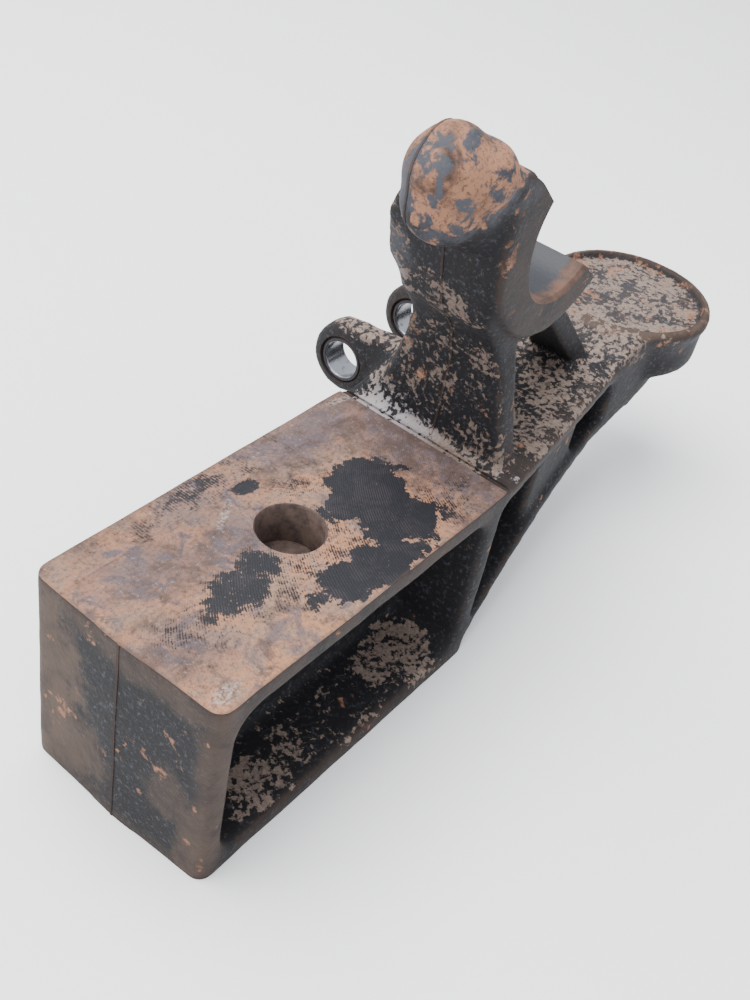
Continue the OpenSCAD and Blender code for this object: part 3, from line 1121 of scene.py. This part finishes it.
@dataclass(frozen=True)
class WornPaint(Finish):
    """Black paint on rough cast iron, worn to rust on the edges and flaked to a pale film on top."""

    name: str = "worn_black_paint"
    gloss: float = 0.18
    black: tuple = tint(35, 34, 37)
    slate: tuple = tint(74, 76, 83)
    lead: tuple = tint(96, 98, 106)
    brown: tuple = tint(74, 61, 55)
    mud: tuple = tint(96, 79, 68)
    rust: tuple = tint(178, 130, 104)
    pale: tuple = tint(160, 142, 127)
    rose: tuple = tint(134, 116, 110)
    chalk: tuple = tint(186, 180, 184)
    pad_middle: Point = (293.0, 0.0, 0.0)
    lip: tuple[float, float, float, float] = (42.9, 43.9, 50.5, 52.0)
    mud_zones: tuple = (
        Zone((-93, 46, -50), (14, 24, 70), 0.95, rag=2.6, soft=0.35),
        Zone((-93, 32, -80), (14, 26, 24), 0.8, rag=2.6, soft=0.35),
        Zone((-93, -44, -84), (14, 9, 26), 0.8, rag=2.6, soft=0.4),
        Zone((-93, -48, -40), (14, 7, 50), 0.5, rag=2.2, soft=0.5),
        Zone((-93, -30, -64), (14, 11, 14), 0.6, rag=3.0, soft=0.4),
        Zone((-93, -8, -4), (14, 60, 8), 0.6, rag=2.6, soft=0.5),
        Zone((-93, 0, -104), (14, 60, 6), 0.4, rag=1.6, soft=0.8),
    )
    lead_zones: tuple = (Zone((50, -8, 150), (30, 30, 20), 0.75, rag=2.4, soft=0.5),
                         Zone((84, 26, 96), (14, 10, 14), 0.6, rag=2.4, soft=0.5),
                         Zone((290, 0, 0), (50, 50, 10), 0.25, rag=2.4, soft=0.8))
    rust_zones: tuple = (
        Zone((-93, 40, -50), (14, 24, 70), 0.16, soft=0.3),
        Zone((-93, -46, -50), (14, 10, 70), 0.22, soft=0.4),
        Zone((52, -14, 152), (30, 26, 22), 0.60, soft=0.35, rag=1.2),
        Zone((46, -8, 134), (16, 9, 12), 0.44, soft=0.35, rag=1.2),
        Zone((74, -32, 122), (8, 6, 34), 0.52, soft=0.35, rag=0.8),
        Zone((300, 0, 6), (70, 60, 4), 0.32, soft=0.3),
    )
    dust_zones: tuple = (
        Zone((130, -30, 108), (66, 5, 66), 0.75, soft=0.5, rag=0.8),
        Zone((110, -44, 20), (14, 12, 46), 0.35, soft=0.5, rag=0.8),
        Zone((165, -44, -4), (90, 14, 10), 0.75, soft=0.6, rag=0.8),
        Zone((-86, -49, -55), (14, 5, 60), 0.8, soft=0.6, rag=0.8),
        Zone((0, -50, -6), (100, 4, 9), 0.8, soft=0.6, rag=0.8),
        Zone((0, -50, -101), (100, 4, 8), 0.6, soft=0.6, rag=0.8),
        Zone((160, 68, -2), (50, 24, 24), 0.35, soft=0.6, rag=0.8),
        Zone((294, 0, 6), (60, 60, 6), 0.6, soft=0.6, rag=0.8),
    )
    pale_zones: tuple = (
        Zone((175, -10, -1), (90, 60, 5), 0.53, soft=0.3, rag=0.6),
        Zone((250, -10, 2), (40, 60, 8), 0.53, soft=0.3, rag=0.6),
        Zone((293, 0, 3), (44, 44, 8), 0.56, soft=0.1, rag=0.1),
        Zone((97, 6, 2), (7, 46, 9), 0.72, soft=0.4, rag=1.2),
        Zone((98, -22, 10), (12, 22, 14), 0.62, soft=0.4, rag=1.2),
        Zone((98, 30, 20), (20, 16, 34), 0.56, soft=0.4, rag=1.2),
        Zone((98, 0, 34), (16, 34, 44), 0.53, soft=0.5, rag=1.2),
        Zone((98, -16, 46), (16, 12, 16), 0.60, soft=0.4, rag=1.6),
        Zone((84, 2, 80), (18, 26, 19), 0.60, soft=0.4, rag=1.6),
        Zone((84, 24, 100), (16, 12, 34), 0.62, soft=0.3, rag=1.2),
        Zone((60, 12, 146), (24, 12, 26), 0.35, soft=0.4, rag=1.2),
        Zone((62, -30, -97), (30, 22, 8), 0.62, soft=0.3, rag=1.6),
        Zone((-48, -34, -97), (24, 18, 8), 0.58, soft=0.3, rag=1.6),
        Zone((0, -30, -97), (80, 22, 8), 0.34, soft=0.3, rag=1.6),
        Zone((0, 30, -97), (80, 22, 8), 0.44, soft=0.3, rag=1.6),
        Zone((124, 60, 20), (14, 30, 9), 0.62, soft=0.3, rag=1.0),
        Zone((182, 60, 20), (14, 30, 9), 0.55, soft=0.3, rag=1.0),
        Zone((101, -37, 18), (7, 5, 20), 0.8, soft=0.3, rag=0.8),
    )
    chalk_zones: tuple = (
        Zone((97, 24, 2), (8, 22, 9), 0.8, soft=0.7, rag=1.2),
        Zone((88, 26, 84), (12, 8, 16), 0.5, soft=0.5, rag=1.2),
        Zone((94, -46, 0), (18, 6, 6), 0.8, soft=0.5, rag=1.6),
    )

    def wire(self, graph: Graph, place: Socket) -> tuple[Socket, Socket, Socket]:
        """Rust, then black paint, then the pale film, each where its zones put it."""
        zoning = Zoning(graph, place)
        bend = graph.add("ShaderNodeAttribute", attribute_name=WEAR).outputs["Fac"]
        facing = graph.parts(graph.add("ShaderNodeNewGeometry").outputs["Normal"])[2]
        upward = graph.step(facing, 0.1, 0.7)
        cloud = graph.noise(place, 20.0, 7, 0.66, 0.4)
        speck = graph.noise(place, 1.5, 4, 0.7)
        metal = graph.blend(graph.step(cloud, 0.30, 0.54), self.brown, self.rust)
        metal = graph.blend(graph.part(speck, 0.5, 0.66, 0.7), metal, self.brown)
        grit = graph.noise(place, 2.2, 8, 0.72)
        coat = graph.blend(graph.step(grit, 0.52, 0.66), self.black, self.slate)
        dust = graph.math("MULTIPLY", zoning.most(self.dust_zones), graph.step(cloud, 0.25, 0.6))
        coat = graph.blend(dust, coat, self.brown)
        coat = graph.blend(zoning.most(self.lead_zones), coat, self.lead)
        mud = graph.blend(graph.step(cloud, 0.35, 0.6), self.brown, self.mud)
        coat = graph.blend(zoning.most(self.mud_zones), coat, mud)
        away = graph.away(place, self.pad_middle, (1, 1, 0))
        start, full, fade, end = self.lip
        lip = graph.math("MULTIPLY", graph.step(away, start, full), upward)
        coat = graph.blend(graph.math("MULTIPLY", lip, graph.part(away, end, fade, 0.8)), coat, self.mud)
        film = graph.blend(graph.step(speck, 0.38, 0.62), self.pale, self.rose)
        # Painted shade: the pale film is mixed up to 35% towards brown on faces that don't face up, so sides
        # and undersides read darker than tops
        film = graph.blend(graph.math("MULTIPLY_ADD", upward, -0.35, 0.35), film, self.brown)
        film = graph.blend(zoning.most(self.chalk_zones), film, self.chalk)

        rusty = graph.use(Flakes().make(), Place=place, Grain=9.0,
                          Cover=graph.math("MAXIMUM", zoning.most(self.rust_zones), 0.12),
                          Soft=0.04).outputs[0]
        worn = graph.use(EdgeWear().make(), Place=place, Bend=bend, Amount=0.3).outputs[0]
        top = graph.math("MULTIPLY", zoning.most(self.pale_zones),
                         graph.math("MULTIPLY_ADD", upward, 0.2, 0.82))
        flaked = graph.use(Flakes().make(), Place=place, Grain=2.8, Cover=graph.math("SUBTRACT", top, 0.06),
                           Soft=0.035).outputs[0]
        colour = graph.blend(rusty, coat, metal)
        colour = graph.blend(graph.math("MULTIPLY", worn, 0.7), colour, self.brown)
        colour = graph.blend(flaked, colour, film)
        rough = graph.math("MULTIPLY_ADD", graph.most(rusty, flaked, worn), 0.2, 0.66)
        skin = graph.use(SandSkin().make(), Place=place).outputs[0]
        height = graph.math("MULTIPLY", skin, 0.5)
        height = graph.math("MULTIPLY_ADD", rusty, -0.1, height)
        height = graph.math("MULTIPLY_ADD", flaked, -0.12, height)
        return colour, rough, height


@dataclass(frozen=True)
class MilledSeat(Finish):
    """The machined seat: a thin rust film, clouds of grey, and dark paint that shows the cutter's arcs."""

    name: str = "milled_seat"
    tan: tuple = tint(166, 132, 112)
    orange: tuple = tint(188, 136, 104)
    plum: tuple = tint(112, 98, 102)
    umber: tuple = tint(94, 75, 67)
    black: tuple = tint(38, 38, 43)
    pale: tuple = tint(206, 198, 192)
    paint_zones: tuple = (
        seat_zone(48, -3, 18, 18, 1.0, rag=2.2, soft=0.10),
        seat_zone(40, -26, 20, 18, 1.0, rag=2.4, soft=0.10),
        seat_zone(8, -38, 32, 11, 1.0, 6, rag=2.6, soft=0.12),
        seat_zone(27, -6, 13, 9, 1.0, rag=2.4, soft=0.10),
        seat_zone(-40, -9, 23, 11, 0.8, -12, rag=2.8, soft=0.3),
        seat_zone(5, 30, 7, 4, 0.9, rag=2.0, soft=0.3),
        seat_zone(-14, 44, 18, 6, 0.55, rag=2.4, soft=0.5),
        seat_zone(-76, -11, 10, 7, 0.45, rag=1.4, soft=0.6),
        seat_zone(50, -34, 38, 13, 0.42, rag=1.2, soft=0.8),
        seat_zone(-4, -20, 36, 22, 0.40, rag=1.2, soft=0.8),
        seat_zone(-60, -14, 24, 13, 0.38, rag=1.2, soft=0.8),
        seat_zone(-14, 42, 50, 10, 0.34, rag=1.2, soft=0.8),
        seat_zone(20, 16, 24, 9, 0.38, rag=1.2, soft=0.8),
    )
    plum_zones: tuple = (
        seat_zone(-60, 20, 28, 16, 0.7, 20, rag=2.2, soft=0.7),
        seat_zone(55, 38, 34, 14, 0.9, rag=1.8, soft=0.7),
        seat_zone(86, 0, 18, 60, 0.8, rag=1.8, soft=0.7),
        seat_zone(-20, 8, 26, 16, 0.7, rag=2.2, soft=0.7),
        seat_zone(-20, 34, 30, 14, 0.5, rag=2.2, soft=0.7),
        seat_zone(-80, -16, 16, 14, 0.6, rag=2.2, soft=0.7),
    )
    stains: tuple = (
        seat_zone(84, 0, 22, 60, 0.7, rag=2.0, soft=0.9),
        seat_zone(-30, 46, 52, 7, 0.6, rag=2.8, soft=0.7),
        seat_zone(-80, -12, 18, 14, 0.6, rag=2.6, soft=0.9),
        seat_zone(30, 26, 20, 9, 0.6, rag=2.8, soft=0.8),
        seat_zone(-46, 14, 24, 14, 0.5, rag=2.8, soft=0.9),
    )
    scrapes: tuple = (
        seat_zone(-84, -43, 7, 4, 0.6, rag=2.6, soft=0.5),
        seat_zone(-15, 24, 9, 1.6, 0.5, -30, rag=2.0, soft=0.6),
        seat_zone(86, 45, 9, 1.6, 0.5, 10, rag=2.0, soft=0.6),
    )
    half_length: float = 93.5
    half_width: float = 50.0
    sweep: float = 130.0
    offset: float = 96.0
    feed: float = 1.4

    def wire(self, graph: Graph, place: Socket) -> tuple[Socket, Socket, Socket]:
        """Clouds of rust, then paint over them, then scrapes and worn borders."""
        zoning = Zoning(graph, place)
        along, across, _ = graph.parts(place)
        cloud = graph.noise(place, 24.0, 9, 0.66, 0.6)
        blotch = graph.noise(place, 11.0, 9, 0.70, 0.3)
        fine = graph.noise(place, 1.8, 5, 0.75)
        drift = graph.noise(place, 15.0, 10, 0.72, 0.9)
        colour = graph.blend(graph.step(cloud, 0.42, 0.56), self.tan, self.orange)
        plum = graph.math("ADD", zoning.most(self.plum_zones), graph.part(drift, 0.50, 0.62, 0.8), clamp=True)
        colour = graph.blend(plum, colour, self.plum)
        colour = graph.blend(graph.part(blotch, 0.50, 0.62, 0.7), colour, self.umber)
        stain = graph.math("MULTIPLY", zoning.most(self.stains), graph.step(blotch, 0.38, 0.54))
        colour = graph.blend(stain, colour, self.umber)
        colour = graph.blend(graph.part(fine, 0.50, 0.62, 0.6), colour, self.umber)
        colour = graph.blend(graph.part(fine, 0.42, 0.34, 0.3), colour, self.pale)

        arcs = graph.use(CutterMarks().make(), Place=place, Sweep=self.sweep, Offset=self.offset,
                         Feed=self.feed).outputs[0]
        hatched = graph.stir(arcs, 0.34, zoning.most(self.paint_zones))
        hatched = graph.stir(blotch, 1.6, graph.stir(fine, 1.5, hatched))
        paint = graph.step(hatched, 0.40, 0.58)
        lines = graph.math("MULTIPLY", graph.math("POWER", arcs, 3.0), graph.step(drift, 0.48, 0.6))
        coat = graph.blend(graph.math("MULTIPLY", lines, 0.35), self.black, self.plum)
        colour = graph.blend(paint, colour, coat)
        scrape = graph.math("MULTIPLY", zoning.most(self.scrapes), graph.step(fine, 0.55, 0.4))
        colour = graph.blend(scrape, colour, self.pale)

        to_side = graph.math("SUBTRACT", self.half_width, graph.math("ABSOLUTE", across))
        to_end = graph.math("ADD", along, self.half_length + 1)
        border = graph.math("MINIMUM", to_side, to_end)
        border = graph.math("MULTIPLY_ADD", blotch, 5.0, border)
        colour = graph.blend(graph.part(border, 4.8, 1.6, 0.6), colour, self.umber)
        rough = graph.math("MULTIPLY_ADD", paint, -0.22, 0.74)
        height = graph.math("MULTIPLY_ADD", arcs, 0.05, graph.math("MULTIPLY", fine, 0.22))
        height = graph.math("MULTIPLY_ADD", paint, 0.05, height)
        return colour, rough, height


@dataclass(frozen=True)
class RustyHole(Finish):
    """The drilled hole's wall: brown rust with faint tool rings."""

    name: str = "rusty_hole"
    brown: tuple = tint(116, 96, 88)
    dark: tuple = tint(78, 65, 60)

    def wire(self, graph: Graph, place: Socket) -> tuple[Socket, Socket, Socket]:
        """Brown clouds over tool rings."""
        depth = graph.parts(place)[2]
        cloud = graph.noise(place, 6.0, 6, 0.65)
        rings = graph.math("PINGPONG", graph.math("MULTIPLY", depth, 1.3), 0.5)
        colour = graph.blend(graph.step(cloud, 0.35, 0.7), self.brown, self.dark)
        rough = graph.math("MULTIPLY_ADD", cloud, 0.2, 0.6)
        height = graph.math("MULTIPLY_ADD", rings, 0.08, graph.math("MULTIPLY", cloud, 0.3))
        return colour, rough, height


@dataclass(frozen=True)
class BoredSaddle(Finish):
    """The machined saddle: blue-grey iron with rust creeping in from its borders."""

    name: str = "bored_saddle"
    grey: tuple = tint(60, 62, 68)
    rust: tuple = tint(120, 90, 76)
    brown: tuple = tint(78, 64, 58)
    half: float = 29.0
    axis: Point = (129.0, 0.0, 113.0)
    split_from: tuple[float, float] = (34.4, 35.6)

    def wire(self, graph: Graph, place: Socket) -> tuple[Socket, Socket, Socket]:
        """Grey in the middle, rust towards the two sides and on the split faces."""
        across = graph.parts(place)[1]
        away = graph.away(place, self.axis, (1, 0, 1))
        to_side = graph.math("SUBTRACT", self.half, graph.math("ABSOLUTE", across))
        ragged = graph.math("MULTIPLY_ADD", graph.noise(place, 9.0, 7, 0.65), 16.0, to_side)
        border = graph.step(ragged, 17.0, 12.5)
        split = graph.part(away, *self.split_from, 0.85)
        cloud = graph.noise(place, 11.0, 6, 0.65)
        metal = graph.blend(graph.step(cloud, 0.35, 0.65), self.rust, self.brown)
        colour = graph.blend(graph.most(border, split), self.grey, metal)
        fine = graph.noise(place, 1.8, 4, 0.6)
        colour = graph.blend(graph.part(fine, 0.5, 0.8, 0.35), colour, self.brown)
        rough = graph.math("MULTIPLY_ADD", border, 0.25, 0.42)
        return colour, rough, graph.math("MULTIPLY", fine, 0.18)


@dataclass(frozen=True)
class BushSteel(Finish):
    """The pressed-in bush: a bright, worn bore and dull, stained ends."""

    name: str = "bush_steel"
    metal: float = 0.85
    gloss: float = 0.5
    bright: tuple = tint(196, 198, 204)
    dull: tuple = tint(70, 66, 68)
    centre: Point = (0.0, 68.0, -2.0)
    bore: float = 9.5

    def wire(self, graph: Graph, place: Socket) -> tuple[Socket, Socket, Socket]:
        """Bright within the bore, dull outside it, with rings along the axis."""
        away = graph.away(place, self.centre, (0, 1, 1))
        stain = graph.noise(place, 5.0, 6, 0.65)
        edge = graph.math("MULTIPLY_ADD", stain, 1.2, away)
        outside = graph.step(edge, self.bore + 0.75, self.bore + 1.3)
        colour = graph.blend(outside, self.bright, self.dull)
        colour = graph.blend(graph.part(stain, 0.52, 0.7, 0.6), colour, self.dull)
        along = graph.parts(place)[0]
        rings = graph.math("PINGPONG", graph.math("MULTIPLY", along, 1.7), 0.5)
        rough = graph.math("MULTIPLY_ADD", outside, 0.3, 0.24)
        height = graph.math("MULTIPLY_ADD", rings, 0.02, graph.math("MULTIPLY", stain, 0.1))
        return colour, rough, height


@dataclass
class Studio:
    """The camera, the lights and the floor."""

    place: Point = (-308.2, -217.2, 335.3)
    azimuth: float = 30.36
    down: float = 39.6
    roll: float = 12.33
    lens: float = 43.59
    sensor: float = 36.0
    sky: tuple[float, float, float, float] = (0.92, 0.95, 1.0, 1.0)
    sky_strength: float = 1.4
    floor_size: float = 12.0
    floor_grey: float = 0.93

    def build(self) -> None:
        """Builds the whole setting."""
        self.add_camera()
        self.add_floor()
        self.add_light("key", (-0.2, 0.5, 1.7), 1.6, 78)
        self.add_light("fill", (-1.6, -0.3, 1.0), 1.6, 8)
        world = bpy.data.worlds.new("studio")
        world.use_nodes = True
        sky = world.node_tree.nodes["Background"]
        sky.inputs["Color"].default_value = self.sky
        sky.inputs["Strength"].default_value = self.sky_strength
        bpy.context.scene.world = world

    def add_camera(self) -> None:
        """Adds the camera at the place and turn of the viewer."""
        turn, tilt, roll = (math.radians(a) for a in (self.azimuth, self.down, self.roll))
        ahead = Vector((math.cos(tilt) * math.cos(turn), math.cos(tilt) * math.sin(turn), -math.sin(tilt)))
        level = Vector((math.sin(turn), -math.cos(turn), 0))
        up = level.cross(ahead)
        right = level * math.cos(roll) + up * math.sin(roll)
        lens = bpy.data.cameras.new("camera")
        lens.sensor_fit, lens.sensor_height, lens.lens = "VERTICAL", self.sensor, self.lens
        lens.clip_start, lens.clip_end = 0.01, 50
        camera = bpy.data.objects.new("camera", lens)
        bpy.context.scene.collection.objects.link(camera)
        turned = Matrix((right, right.cross(ahead), -ahead)).transposed().to_4x4()
        camera.matrix_world = Matrix.Translation(metres(self.place)) @ turned
        bpy.context.scene.camera = camera

    def add_light(self, name: str, place: Point, size: float, power: float) -> None:
        """Adds a soft square lamp that faces the part.

        Args:
            name: the lamp's name.
            place: where it hangs, in metres.
            size: the length of its side, in metres.
            power: its power in watts.
        """
        lamp = bpy.data.lights.new(name, "AREA")
        lamp.shape, lamp.size, lamp.energy = "SQUARE", size, power
        holder = bpy.data.objects.new(name, lamp)
        bpy.context.scene.collection.objects.link(holder)
        holder.location = place
        holder.rotation_euler = (-Vector(place)).to_track_quat("-Z", "Y").to_euler()

    def add_floor(self) -> None:
        """Adds the plain pale floor under the block."""
        low, _ = box_mm("base_plate")
        bpy.ops.object.select_all(action="DESELECT")
        bpy.ops.mesh.primitive_plane_add(size=self.floor_size, location=(0, 0, low.z * MM))
        floor = bpy.context.active_object
        floor.name = "floor"
        finish = bpy.data.materials.new("floor")
        finish.use_nodes = True
        shader = finish.node_tree.nodes["Principled BSDF"]
        shader.inputs["Base Color"].default_value = (*[self.floor_grey] * 3, 1)
        shader.inputs["Roughness"].default_value = 0.9
        floor.data.materials.append(finish)


def main() -> None:
    """Builds every piece and the studio, and reports each piece."""
    logging.basicConfig(level=logging.INFO, format="%(name)s: %(message)s")
    foundry = Casting()
    casting = foundry.build()
    foundry.dress(casting)
    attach(casting, BODY)
    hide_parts(*(n for n in frame["nodes"] if not n.endswith("bush")))
    LOG.info("casting: %d faces", len(casting.data.polygons))
    for node in ("front_ear_bush", "rear_ear_bush"):
        ring = Bush(node).build()
        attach(ring, BODY)
        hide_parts(node)
        LOG.info("%s: %d faces", ring.name, len(ring.data.polygons))
    Studio().build()


if __name__ == "__main__":
    main()
